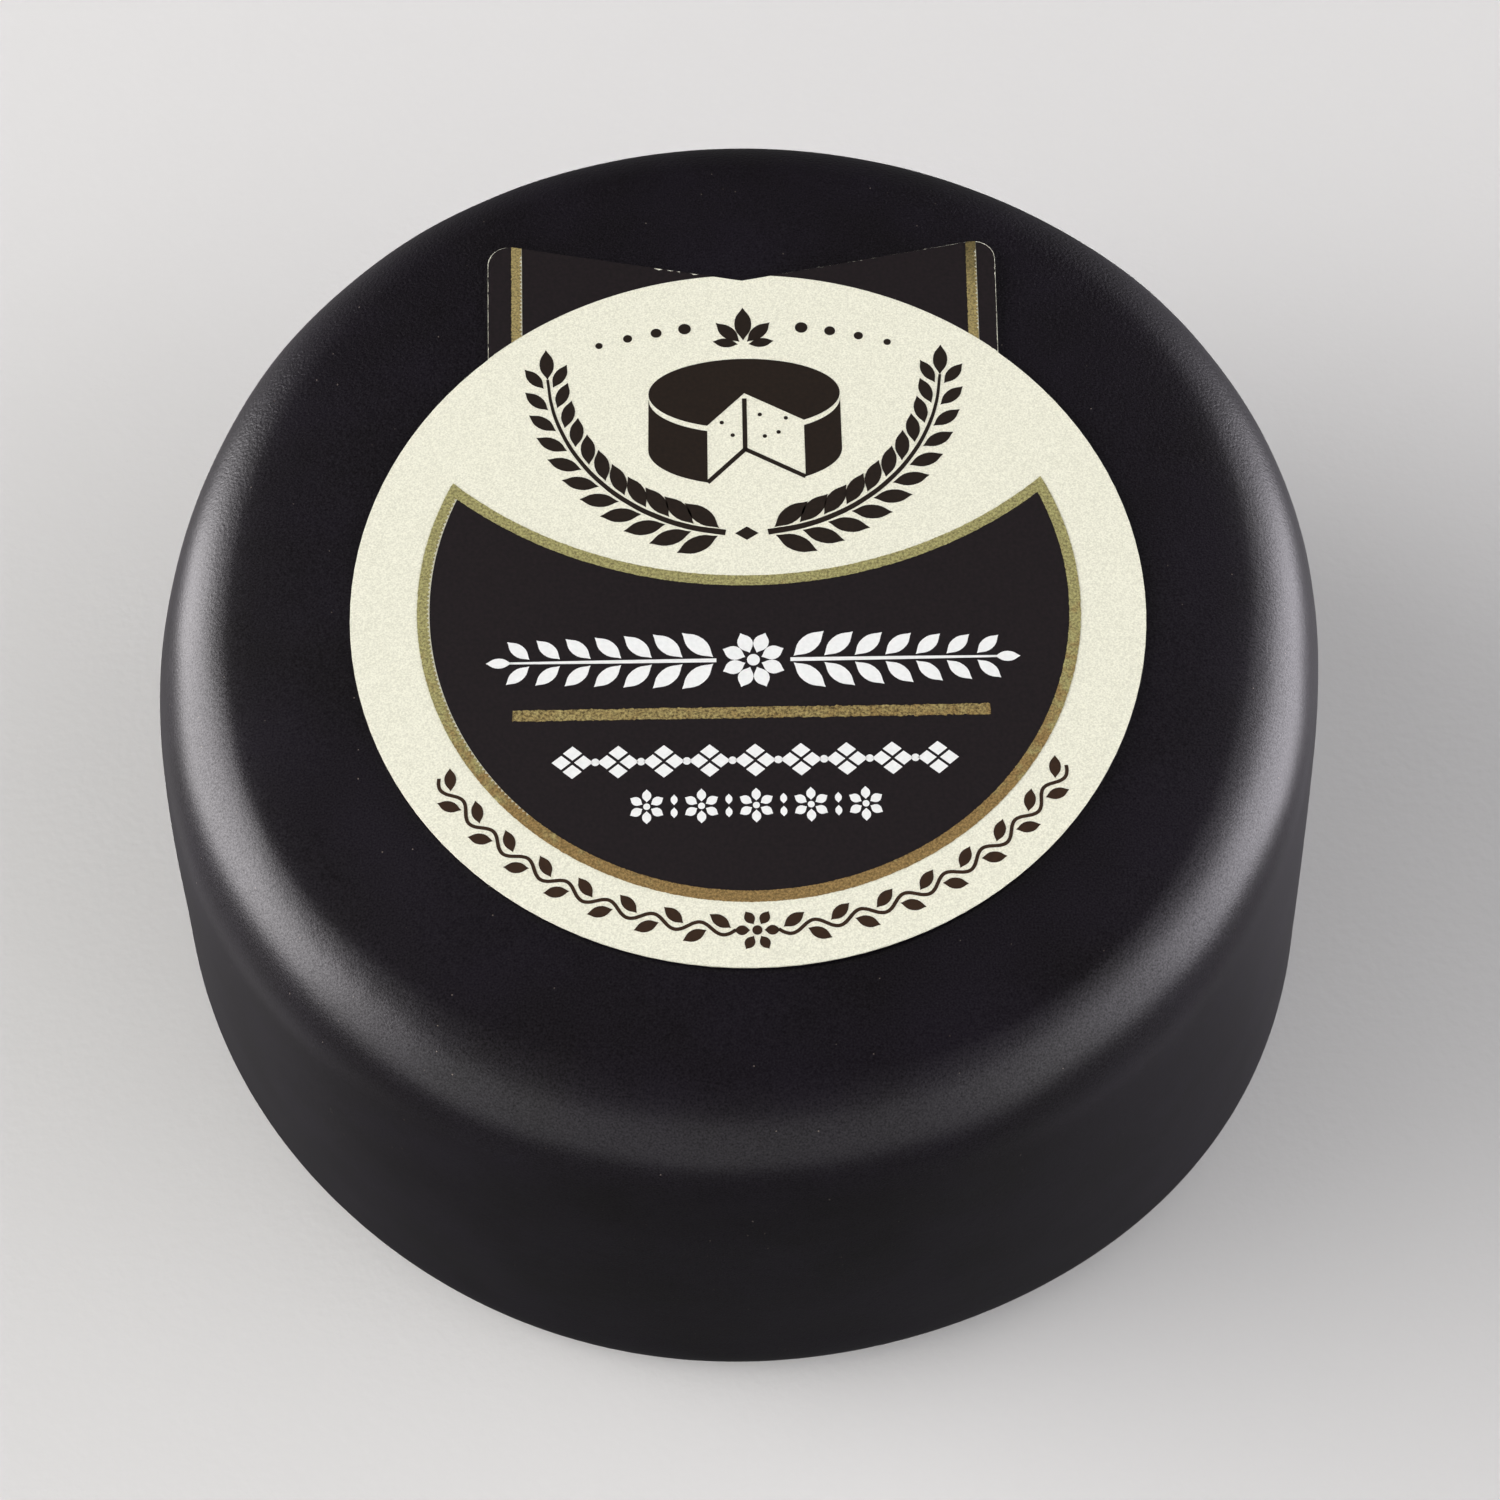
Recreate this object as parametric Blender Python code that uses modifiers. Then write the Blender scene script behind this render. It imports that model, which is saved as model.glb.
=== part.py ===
"""A small waxed cheddar truckle with a die-cut paper label on its top.

The truckle rests on its wider end. Lengths below are in millimetres and the model is in metres.
+X is to the right of the label's reader, +Y is away from the reader and +Z is up.
"""

import math

import bpy
from mathutils import Matrix, Vector

MM = 0.001

# Wax body: a pressed round whose wall narrows from its base towards its top
BODY_HEIGHT = 39.5
BASE_RADIUS = 42.4
TOP_RADIUS = 37.8
WALL_BULGE = 0.2

# The edges carved from that wall: a small round below, and a wide shoulder above.
# The shoulder is fuller than an ellipse, which would have a fullness of 2.
BASE_ROUNDING = 3.0
SHOULDER_REACH = 8.0
SHOULDER_DROP = 8.0
SHOULDER_FULLNESS = 2.5

# Unevenness of the hand-pressed round: how many lobes go round the body, how deep they are,
# and the bearing in degrees of one of them. The base and the top are out of round differently.
BASE_LOBES = ((2, 0.70, -12), (4, 0.25, -43), (5, 0.25, -27))
TOP_LOBES = ((2, 0.55, 77), (4, 0.35, 37), (5, 0.15, 11))

# Facets of the body
TURN_STEPS = 112
BASE_STEPS = 5
WALL_STEPS = 6
SHOULDER_STEPS = 12

# Paper label: a disc, with a tab behind it that ends in two ears
LABEL_RADIUS = 25.0
LABEL_THICKNESS = 0.2
LABEL_GAP = 0.3
LABEL_OFFSET_X = 0.5
LABEL_OFFSET_Y = -1.6
LABEL_TURN_DEG = 0.9
TAB_HALF_WIDTH = 16.95
TAB_FLARE_DEG = 2.0
NOTCH_DEPTH_Y = 24.6
NOTCH_RISE_DEG = 11.1
EAR_ROUNDING = 1.4
ARC_STEP_DEG = 3.0
EAR_STEPS = 6

# Finishes, as sRGB colours
WAX_COLOUR = "1C1A1E"
WAX_ROUGHNESS = 0.42
PAPER_COLOUR = "EDEAD5"
PAPER_ROUGHNESS = 0.55


def clear_scene():
    """Remove what the opened file holds."""
    for thing in list(bpy.data.objects):
        bpy.data.objects.remove(thing, do_unlink=True)


def linear(channel):
    """Turn one sRGB channel from 0 to 1 into a linear one."""
    if channel <= 0.04045:
        return channel / 12.92
    return ((channel + 0.055) / 1.055) ** 2.4


def finish(name, hex_colour, roughness):
    """A plain material from an sRGB hex colour."""
    material = bpy.data.materials.new(name)
    material.use_nodes = True
    shader = material.node_tree.nodes["Principled BSDF"]
    channels = [int(hex_colour[i:i + 2], 16) / 255 for i in (0, 2, 4)]
    shader.inputs["Base Color"].default_value = (*[linear(c) for c in channels], 1.0)
    shader.inputs["Roughness"].default_value = roughness
    shader.inputs["Metallic"].default_value = 0.0
    return material


def wall_radius(height):
    """Radius of the leaning, slightly bulged wall at a height, before its edges are rounded."""
    up = height / BODY_HEIGHT
    return BASE_RADIUS + (TOP_RADIUS - BASE_RADIUS) * up + 4 * WALL_BULGE * up * (1 - up)


def body_profile():
    """Half section of the body as (radius, height) in millimetres, from top to bottom."""
    shoulder_start = BODY_HEIGHT - SHOULDER_DROP
    power = 2 / SHOULDER_FULLNESS
    points = [(0.0, BODY_HEIGHT)]
    for step in range(SHOULDER_STEPS):
        angle = math.pi / 2 * (1 - step / SHOULDER_STEPS)
        height = shoulder_start + SHOULDER_DROP * math.sin(angle) ** power
        inset = SHOULDER_REACH * (1 - max(math.cos(angle), 0.0) ** power)
        points.append((wall_radius(height) - inset, height))
    for step in range(WALL_STEPS + 1):
        height = shoulder_start + (BASE_ROUNDING - shoulder_start) * step / WALL_STEPS
        points.append((wall_radius(height), height))
    for step in range(1, BASE_STEPS + 1):
        angle = math.pi / 2 * step / BASE_STEPS
        height = BASE_ROUNDING * (1 - math.sin(angle))
        inset = BASE_ROUNDING * (1 - math.cos(angle))
        points.append((wall_radius(height) - inset, height))
    points.append((0.0, 0.0))
    return points


def lobe_depth(lobes, bearing):
    """How far a set of lobes pushes the wall out at a bearing, in millimetres."""
    return sum(depth * math.cos(count * (bearing - math.radians(peak)))
               for count, depth, peak in lobes)


def turned_mesh(name, points):
    """Turn a profile of (radius, height) points round Z with a Screw modifier."""
    profile = bpy.data.meshes.new(name + "_profile")
    corners = [(radius * MM, 0.0, height * MM) for radius, height in points]
    edges = [(i, i + 1) for i in range(len(corners) - 1)]
    profile.from_pydata(corners, edges, [])
    turning = bpy.data.objects.new(name + "_turning", profile)
    bpy.context.scene.collection.objects.link(turning)
    screw = turning.modifiers.new("Turn", "SCREW")
    screw.axis = "Z"
    screw.steps = TURN_STEPS
    screw.render_steps = TURN_STEPS
    screw.use_merge_vertices = True
    screw.merge_threshold = 0.00001
    bpy.context.view_layer.update()
    depsgraph = bpy.context.evaluated_depsgraph_get()
    mesh = bpy.data.meshes.new_from_object(turning.evaluated_get(depsgraph))
    mesh.name = name
    bpy.data.objects.remove(turning, do_unlink=True)
    bpy.data.meshes.remove(profile)
    return mesh


def press_uneven(mesh):
    """Push the rings of a turned body in and out by the lobes, less round than a lathe."""
    for vertex in mesh.vertices:
        radius = math.hypot(vertex.co.x, vertex.co.y)
        if radius < MM:
            continue
        bearing = math.atan2(vertex.co.y, vertex.co.x)
        up = vertex.co.z / (BODY_HEIGHT * MM)
        depth = (1 - up) * lobe_depth(BASE_LOBES, bearing) + up * lobe_depth(TOP_LOBES, bearing)
        push = 1 + depth * MM / radius
        vertex.co.x *= push
        vertex.co.y *= push


def centre_on_origin(mesh):
    """Move a mesh so that its plan is centred on Z, and say how far it moved."""
    xs = [vertex.co.x for vertex in mesh.vertices]
    ys = [vertex.co.y for vertex in mesh.vertices]
    move = Vector((-(min(xs) + max(xs)) / 2, -(min(ys) + max(ys)) / 2, 0.0))
    mesh.transform(Matrix.Translation(move))
    return move


def wax_body(collection):
    """The whole cheese in its wax, one solid. Returns where its axis ended up."""
    mesh = turned_mesh("waxed_cheese", body_profile())
    press_uneven(mesh)
    axis_place = centre_on_origin(mesh)
    mesh.shade_smooth()
    mesh.set_sharp_from_angle(angle=math.radians(35))
    mesh.materials.append(finish("black_cheese_wax", WAX_COLOUR, WAX_ROUGHNESS))
    body = bpy.data.objects.new("waxed_cheese", mesh)
    collection.objects.link(body)
    return axis_place


def rounded_corner(before, corner, after, radius, steps):
    """Points of an arc that replaces a corner between two straight edges."""
    back = (before - corner).normalized()
    ahead = (after - corner).normalized()
    half_angle = back.angle(ahead) / 2
    start = corner + back * (radius / math.tan(half_angle))
    end = corner + ahead * (radius / math.tan(half_angle))
    centre = corner + (back + ahead).normalized() * (radius / math.sin(half_angle))
    first = start - centre
    sweep = first.angle_signed(end - centre)
    points = []
    for step in range(steps + 1):
        turn = Matrix.Rotation(-sweep * step / steps, 2)
        points.append(centre + turn @ first)
    return points


def tab_join():
    """Where the right side of the tab leaves the disc."""
    height = math.sqrt(LABEL_RADIUS ** 2 - TAB_HALF_WIDTH ** 2)
    return Vector((TAB_HALF_WIDTH, height))


def ear_corner():
    """The right ear's corner before rounding: the notch edge meets the side of the tab."""
    join = tab_join()
    flare = math.tan(math.radians(TAB_FLARE_DEG))
    rise = math.tan(math.radians(NOTCH_RISE_DEG))
    x = (join.x + flare * (NOTCH_DEPTH_Y - join.y)) / (1 - flare * rise)
    return Vector((x, NOTCH_DEPTH_Y + rise * x))


def label_outline():
    """The cut edge of the label in millimetres, clockwise from the bottom of the notch."""
    notch = Vector((0.0, NOTCH_DEPTH_Y))
    join = tab_join()
    right_ear = rounded_corner(notch, ear_corner(), join, EAR_ROUNDING, EAR_STEPS)
    start = math.atan2(join.y, join.x)
    sweep = -(math.pi + 2 * start)
    steps = round(math.degrees(-sweep) / ARC_STEP_DEG)
    arc = []
    for step in range(steps + 1):
        angle = start + sweep * step / steps
        arc.append(Vector((LABEL_RADIUS * math.cos(angle), LABEL_RADIUS * math.sin(angle))))
    left_ear = [Vector((-point.x, point.y)) for point in reversed(right_ear)]
    return [notch, *right_ear, *arc, *left_ear]


def paper_label(collection, axis_place):
    """The die-cut label, a flat curve with the thickness of stiff paper, just over the wax."""
    outline = label_outline()
    shape = bpy.data.curves.new("label", "CURVE")
    shape.dimensions = "2D"
    shape.fill_mode = "BOTH"
    shape.extrude = LABEL_THICKNESS / 2 * MM
    spline = shape.splines.new("POLY")
    spline.points.add(len(outline) - 1)
    for point, place in zip(spline.points, outline):
        point.co = (place.x * MM, place.y * MM, 0.0, 1.0)
    spline.use_cyclic_u = True
    shape.materials.append(finish("label_paper", PAPER_COLOUR, PAPER_ROUGHNESS))
    label = bpy.data.objects.new("label", shape)
    middle = BODY_HEIGHT + LABEL_GAP + LABEL_THICKNESS / 2
    label.location = axis_place + Vector((LABEL_OFFSET_X, LABEL_OFFSET_Y, middle)) * MM
    label.rotation_euler.z = math.radians(LABEL_TURN_DEG)
    collection.objects.link(label)


def main():
    clear_scene()
    collection = bpy.data.collections.new("waxed_cheddar_truckle")
    bpy.context.scene.collection.children.link(collection)
    axis_place = wax_body(collection)
    paper_label(collection, axis_place)


main()
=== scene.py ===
# %% [markdown]
# # A small waxed cheddar truckle
#
# This lesson dresses a plain model of a small cheddar round that was dipped in black wax and
# given a paper label. The plain model is loaded first. It has two solids, the waxed cheese and
# the label, in metres, standing on the floor with the label up. Every new piece takes its
# place from those two, so that nothing has to be fitted by eye.

import math

import bpy
from mathutils import Matrix, Vector


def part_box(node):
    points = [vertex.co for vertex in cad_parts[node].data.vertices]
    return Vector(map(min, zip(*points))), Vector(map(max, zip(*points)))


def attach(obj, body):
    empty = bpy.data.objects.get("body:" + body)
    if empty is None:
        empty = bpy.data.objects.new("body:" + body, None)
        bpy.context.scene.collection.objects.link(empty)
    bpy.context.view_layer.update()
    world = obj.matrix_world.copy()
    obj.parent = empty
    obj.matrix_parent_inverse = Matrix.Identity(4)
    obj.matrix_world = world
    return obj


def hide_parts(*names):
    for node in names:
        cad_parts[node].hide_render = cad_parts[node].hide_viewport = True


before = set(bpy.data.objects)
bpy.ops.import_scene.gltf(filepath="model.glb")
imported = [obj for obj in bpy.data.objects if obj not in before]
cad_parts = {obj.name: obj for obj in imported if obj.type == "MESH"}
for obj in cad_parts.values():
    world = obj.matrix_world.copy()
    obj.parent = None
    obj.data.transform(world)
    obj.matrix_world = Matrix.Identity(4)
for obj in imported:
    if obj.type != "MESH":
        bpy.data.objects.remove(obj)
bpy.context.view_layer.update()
MM = 0.001

# %% [markdown]
# ## Working as by hand
#
# Blender's operators act on whatever is selected, and loading leaves the plain model selected.
# So each step first takes hold of its own objects alone. Faces, edges and points are picked by
# a question about each one, such as whether it looks up, which is what a modeller does with the
# mouse.

# %% Taking hold of objects and faces
LEVEL = 0.99


def take(*things):
    """Leave edit mode and select these objects alone, the first of them active."""
    if bpy.context.object and bpy.context.object.mode == "EDIT":
        bpy.ops.object.mode_set(mode="OBJECT")
    bpy.ops.object.select_all(action="DESELECT")
    for thing in things:
        thing.select_set(True)
    if things:
        bpy.context.view_layer.objects.active = things[0]


def new_object(name, data):
    """Put a mesh or a curve into the scene as an object."""
    thing = bpy.data.objects.new(name, data)
    bpy.context.scene.collection.objects.link(thing)
    return thing


def object_mode():
    """Go back to object mode."""
    bpy.ops.object.mode_set(mode="OBJECT")


def settle():
    """Take an object's place, turn and size over into its mesh."""
    bpy.ops.object.transform_apply(location=True, rotation=True, scale=True)


def modify(piece, kind, **settings):
    """Give a piece a modifier with these settings, and apply it."""
    take(piece)
    modifier = piece.modifiers.new(kind, kind)
    for name, value in settings.items():
        setattr(modifier, name, value)
    bpy.ops.object.modifier_apply(modifier=modifier.name)


def edit_all(piece):
    """Open a piece in edit mode with all of it selected."""
    take(piece)
    bpy.ops.object.mode_set(mode="EDIT")
    bpy.ops.mesh.select_all(action="SELECT")


def edit_some(piece, kind, wanted):
    """Open a piece in edit mode with only the wanted faces, edges or points selected."""
    edit_all(piece)
    bpy.ops.mesh.select_mode(type=kind)
    bpy.ops.mesh.select_all(action="DESELECT")
    object_mode()
    parts = {"FACE": piece.data.polygons, "EDGE": piece.data.edges, "VERT": piece.data.vertices}
    for part in parts[kind]:
        part.select = wanted(part)
    bpy.ops.object.mode_set(mode="EDIT")


def looks_up(face):
    """Whether a face looks straight up."""
    return face.normal.z > LEVEL


def looks_down(face):
    """Whether a face looks straight down."""
    return face.normal.z < -LEVEL


# %% [markdown]
# ## The camera
#
# The photo looks down on the label from close by, at about 60 degrees. The label's disc is a
# true circle, so the ellipse that it makes in the picture gives the distance, the height and
# the focal length. The disc's middle lies above the middle of the picture, so the camera is
# turned down a little more than the line from it to the disc.

# %% Camera
DISC_RADIUS = 25.0
CAMERA_DISTANCE = 148.2
CAMERA_ELEVATION = 59.73
CAMERA_ROLL = -0.09
SENSOR_WIDTH = 36.0
PICTURE_SIDE = 1500
FOCAL_PIXELS = 2349.8
DISC_PIXEL = (748.1, 595.2)
NEAREST_SEEN = 5.0

label_low, label_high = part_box("label")
disc_centre = Vector(((label_low.x + label_high.x) / 2, label_low.y + DISC_RADIUS * MM, label_high.z))
rise = math.radians(CAMERA_ELEVATION)
to_camera = Vector((0.0, -math.cos(rise), math.sin(rise)))

take()
bpy.ops.object.camera_add(location=disc_centre + to_camera * CAMERA_DISTANCE * MM)
camera = bpy.context.object
camera.data.sensor_width = SENSOR_WIDTH
camera.data.lens = FOCAL_PIXELS / PICTURE_SIDE * SENSOR_WIDTH
camera.data.clip_start = NEAREST_SEEN * MM

right_of_middle = (DISC_PIXEL[0] - PICTURE_SIDE / 2) / FOCAL_PIXELS
above_middle = (PICTURE_SIDE / 2 - DISC_PIXEL[1]) / FOCAL_PIXELS
ahead = Vector((0.0, 0.0, -1.0))
aim = (-to_camera).to_track_quat("-Z", "Y")
lean = Vector((right_of_middle, above_middle, -1.0)).rotation_difference(ahead)
roll = Matrix.Rotation(math.radians(CAMERA_ROLL), 3, "Z").to_quaternion()
camera.rotation_mode = "QUATERNION"
camera.rotation_quaternion = aim @ roll @ lean
bpy.context.scene.camera = camera
print("camera lens, mm:", round(camera.data.lens, 1))

# %% [markdown]
# ## Colours and shader nodes
#
# Colours are written as sRGB hex values, the numbers that a picture editor shows. Shaders work
# in linear light, so one function turns the one into the other. Another adds a shader node
# with its settings and what is plugged into it. The nodes that come back again and again have
# short functions of their own: a ramp of two colours, soft noise, arithmetic, a change of
# range and a relief. Sizes of patterns are given in millimetres. The picture is shown with the
# Standard view transform, so that a paper as bright as its hex value says comes out as that
# value.

# %% Helpers for materials
bpy.context.scene.view_settings.view_transform = "Standard"


def linear(hex_colour):
    """Linear red, green, blue and alpha of an sRGB hex colour."""
    channels = [int(hex_colour[i:i + 2], 16) / 255 for i in (0, 2, 4)]
    return (*[c / 12.92 if c <= 0.04045 else ((c + 0.055) / 1.055) ** 2.4 for c in channels], 1.0)


def set_inputs(tree, node, inputs):
    """Give each of these inputs of a node a value, or another node's socket to plug in."""
    for name, value in inputs.items():
        if isinstance(value, bpy.types.NodeSocket):
            tree.links.new(value, node.inputs[name])
        else:
            node.inputs[name].default_value = value


def add_node(tree, kind, inputs, **settings):
    """Add a shader node with its inputs and settings."""
    made = tree.nodes.new("ShaderNode" + kind)
    for name, value in settings.items():
        setattr(made, name, value)
    set_inputs(tree, made, inputs)
    return made


def ramp(tree, factor, dark, light, start, end):
    """A mix of two colours, dark up to a start of the factor and light from an end on."""
    made = add_node(tree, "ValToRGB", {"Fac": factor})
    for stop, place, hex_colour in zip(made.color_ramp.elements, (start, end), (dark, light)):
        stop.position = place
        stop.color = linear(hex_colour)
    return made.outputs["Color"]


def noise(tree, place, size_mm, detail, roughness=0.5):
    """A soft random pattern with steps of a size in millimetres."""
    inputs = {"Vector": place, "Scale": 1 / (size_mm * MM), "Detail": detail, "Roughness": roughness}
    return add_node(tree, "TexNoise", inputs).outputs["Fac"]


def maths(tree, operation, *values):
    """The result of an operation on numbers or sockets."""
    return add_node(tree, "Math", dict(enumerate(values)), operation=operation).outputs["Value"]


def remap(tree, value, low, high, new_low=0.0, new_high=1.0, **settings):
    """Turn the range from low to high into a new range, and hold the value at its ends."""
    inputs = {"Value": value, "From Min": low, "From Max": high, "To Min": new_low, "To Max": new_high}
    return add_node(tree, "MapRange", inputs, **settings).outputs["Result"]


def bump(tree, height, depth, strength=1.0, under=None):
    """A relief of a depth in metres. It can lie on another relief."""
    inputs = {"Height": height, "Distance": depth, "Strength": strength}
    if under is not None:
        inputs["Normal"] = under
    return add_node(tree, "Bump", inputs).outputs["Normal"]


def new_material(name):
    """A material with an empty tree but for its Principled shader and the object's own coordinates."""
    material = bpy.data.materials.new(name)
    material.use_nodes = True
    tree = material.node_tree
    place = add_node(tree, "TexCoord", {}).outputs["Object"]
    return material, tree, tree.nodes["Principled BSDF"], place


# %% [markdown]
# ## The studio
#
# The cheese stands on a plain pale sheet of paper in a dim room. Black wax shows little but
# what it mirrors, so the studio was worked out backwards from the photo: a bright band on the
# shoulder tells where a soft light stood, how high it reached and how bright it was. There was
# one tall soft light on each side, from a little in front of the cheese to well behind it, and
# a far dimmer one over the camera. The pale floor is mirrored in the wall, more on the sides
# than in front.
#
# Each light is built as one curved sheet that goes from the floor up, so that it can glow like
# the floor below, like the lamp in the middle and like the dim room at the top. A wide lamp
# straight above adds light for the label. The lamp and the floor itself are kept out of
# mirror reflections, as the sheets already hold them.

# %% Floor
FLOOR_SIDE = 6000.0
FLOOR_GRAIN = 0.8
FLOOR_GRAIN_DEPTH = 0.05

take()
bpy.ops.mesh.primitive_grid_add(x_subdivisions=4, y_subdivisions=4, size=FLOOR_SIDE * MM)
floor = bpy.context.object
floor.name = "floor"
floor.visible_glossy = False

floor_paper, tree, shader, place = new_material("pale_backdrop_paper")
grain = noise(tree, place, FLOOR_GRAIN, detail=4.0)
set_inputs(tree, shader, {"Base Color": linear("CBCCC8"), "Roughness": 0.95,
                          "Normal": bump(tree, grain, FLOOR_GRAIN_DEPTH * MM, strength=0.5)})
floor.data.materials.append(floor_paper)

# %% Sheets of light
ROOM_GLOW = 0.08
SHEET_DISTANCE = 1500.0
SHEET_MIDDLE = 33.0
SHEET_FOOT = -64.0
SHADED_FLOOR = -46.0
SHADED_FLOOR_GLOW = 0.03
LOWER_BLUR = 5.0
UPPER_BLUR = 6.0
FADE = 30.0


def glow_rows(low, high, lamp, floor_glow, spill):
    """How bright a sheet is at each of its rows, as (elevation in degrees, glow)."""
    return ((SHEET_FOOT, SHADED_FLOOR_GLOW),
            (SHADED_FLOOR, floor_glow),
            (low - LOWER_BLUR, floor_glow),
            (low + LOWER_BLUR, lamp),
            (high - UPPER_BLUR, lamp),
            (high + UPPER_BLUR, spill),
            (high + FADE, ROOM_GLOW))


def light_sheet(name, hex_colour, stations):
    """A glowing sheet that curves round the cheese, out of the camera's sight.

    Each station is a bearing in degrees, with 0 towards the camera and 90 to the right, then
    the elevations of the lamp's lower and upper edge, and how bright the lamp, the floor below
    it and the spilled light above it are.
    """
    take()
    rows = len(glow_rows(*stations[0][1:]))
    bpy.ops.mesh.primitive_grid_add(x_subdivisions=len(stations) - 1, y_subdivisions=rows - 1)
    sheet = bpy.context.object
    sheet.name = name
    glow = sheet.data.attributes.new("glow", "FLOAT", "POINT")
    for vertex in sheet.data.vertices:
        row, column = divmod(vertex.index, len(stations))
        elevation, level = glow_rows(*stations[column][1:])[row]
        turn = math.radians(stations[column][0])
        lift = math.radians(elevation)
        flat = math.cos(lift)
        direction = Vector((math.sin(turn) * flat, -math.cos(turn) * flat, math.sin(lift)))
        vertex.co = (direction * SHEET_DISTANCE + Vector((0, 0, SHEET_MIDDLE))) * MM
        glow.data[vertex.index].value = level
    cloth = bpy.data.materials.new(name + "_cloth")
    cloth.use_nodes = True
    tree = cloth.node_tree
    tree.nodes.clear()
    strength = add_node(tree, "Attribute", {}, attribute_name="glow").outputs["Fac"]
    emission = add_node(tree, "Emission", {"Color": linear(hex_colour), "Strength": strength})
    add_node(tree, "OutputMaterial", {"Surface": emission.outputs["Emission"]})
    sheet.data.materials.append(cloth)
    sheet.visible_camera = False


light_sheet("left_light", "FFFBFE", (
    (-160, -4, 55, 0.09, 0.18, 0.40),
    (-134, -9, 40, 0.25, 0.30, 0.60),
    (-127, -14, 16, 4.5, 0.23, 0.60),
    (-119, -14, 20, 8.9, 0.36, 1.30),
    (-110, -8, 34, 7.8, 0.40, 1.80),
    (-100, -9, 44, 7.9, 0.36, 1.70),
    (-90, 0, 43, 9.6, 0.42, 1.00),
    (-80, 4, 41, 10.0, 0.41, 0.45),
    (-70, 6, 40, 7.6, 0.32, 0.28),
    (-60, 1, 40, 3.5, 0.22, 0.30),
    (-48, -6, 36, 1.9, 0.155, 0.30),
))
light_sheet("front_light", "FFFDFF", (
    (-48, -6, 36, 1.9, 0.155, 0.30),
    (-25, -15, 32, 0.91, 0.13, 0.18),
    (0, -15, 36, 0.87, 0.10, 0.17),
    (25, -5, 43, 0.87, 0.13, 0.16),
    (50, 5, 47, 2.0, 0.22, 0.36),
))
light_sheet("right_light", "FBF7FF", (
    (50, 5, 47, 2.0, 0.22, 0.36),
    (60, 5, 45, 2.9, 0.28, 0.68),
    (70, 1, 42, 3.45, 0.28, 1.02),
    (80, -3, 35, 5.8, 0.28, 1.30),
    (90, -11, 26, 7.3, 0.28, 1.45),
    (100, -21, 23, 6.8, 0.29, 1.55),
    (110, -15, 21, 6.5, 0.38, 1.35),
    (120, -12, 19, 7.2, 0.40, 1.10),
    (128, -14, 29, 3.5, 0.33, 0.85),
    (136, -13, 40, 0.9, 0.30, 0.45),
    (160, -7, 55, 0.12, 0.20, 0.20),
))

# %% Top light
TOP_LIGHT_HEIGHT = 600.0
TOP_LIGHT_SIDE = 500.0
TOP_LIGHT_WATTS = 0.15

take()
bpy.ops.object.light_add(type="AREA", location=(0, 0, TOP_LIGHT_HEIGHT * MM))
top_light = bpy.context.object
top_light.name = "top_light"
top_light.data.size = TOP_LIGHT_SIDE * MM
top_light.data.energy = TOP_LIGHT_WATTS
top_light.visible_glossy = False

# %% Room
world = bpy.data.worlds.new("dim_room")
world.use_nodes = True
tree = world.node_tree
to_eye = add_node(tree, "LightPath", {}).outputs["Is Camera Ray"]
dim = add_node(tree, "Background", {"Color": linear("FFFFFF"), "Strength": ROOM_GLOW})
pale = add_node(tree, "Background", {"Color": linear("D9D7D3"), "Strength": 1.0})
room = add_node(tree, "MixShader", {0: to_eye, 1: dim.outputs["Background"],
                                    2: pale.outputs["Background"]})
tree.links.new(room.outputs["Shader"], tree.nodes["World Output"].inputs["Surface"])
bpy.context.scene.world = world

# %% [markdown]
# ## The wax
#
# A small cheddar is pressed in a mould, so it is round but not quite true, and then it is
# dipped in melted wax. The wax rounds the edges and sets with soft low waves in it. The plain
# solid has the true form in flat facets. A copy of it is merged, its fans of triangles are
# turned into rings of quads, and a Subdivision Surface makes it smooth. Modelling it anew
# would only risk another form.

# %% Wax body
TOP_RING_STEP = 5.0
TOP_RINGS = 5
MERGE_DISTANCE = 0.01
QUAD_ANGLE = math.radians(60)


def merged_copy(node, name):
    """A copy of a solid of the plain model as a new piece, its loose triangles merged."""
    piece = new_object(name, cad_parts[node].data.copy())
    piece.data.materials.clear()
    take(piece)
    bpy.ops.mesh.customdata_custom_splitnormals_clear()
    edit_all(piece)
    bpy.ops.mesh.remove_doubles(threshold=MERGE_DISTANCE * MM)
    return piece


wax = merged_copy("waxed_cheese", "wax_coat")
for flat_end in (looks_up, looks_down):
    edit_some(wax, "FACE", flat_end)
    bpy.ops.mesh.dissolve_faces()
    for ring in range(TOP_RINGS):
        bpy.ops.mesh.inset(thickness=TOP_RING_STEP * MM)
    bpy.ops.mesh.poke()
edit_all(wax)
bpy.ops.mesh.tris_convert_to_quads(face_threshold=QUAD_ANGLE, shape_threshold=QUAD_ANGLE)
object_mode()

# %% [markdown]
# The plain model keeps the label a little clear of the cheese, and the waves that come next
# pull the wax in. So the coat is first stretched from the floor by less than a hundredth. The
# paper then lies about a third of a millimetre above it.

# %% Smooth the wax and stretch it
LABEL_TOP_GAP = 0.185

edit_all(wax)
wax_top = label_high.z - LABEL_TOP_GAP * MM
plain_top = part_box("waxed_cheese")[1].z
bpy.ops.transform.resize(value=(1, 1, wax_top / plain_top), center_override=(0, 0, 0))
object_mode()
modify(wax, "SUBSURF", levels=2)

# %% [markdown]
# Melted wax runs and sets unevenly, which shows as slow waves in the bright bands and along
# the outline. A Displace modifier pulls the surface in by up to a sixth of a millimetre, after
# a cloud texture. It only pulls in, so the coat stays within the plain model's size, and it
# leaves the foot alone, so that the cheese stands flat.

# %% Waves in the wax
WAVE_DEPTH = 0.16
WAVE_LENGTH = 11.0
STILL_FOOT = 3.5

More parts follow.
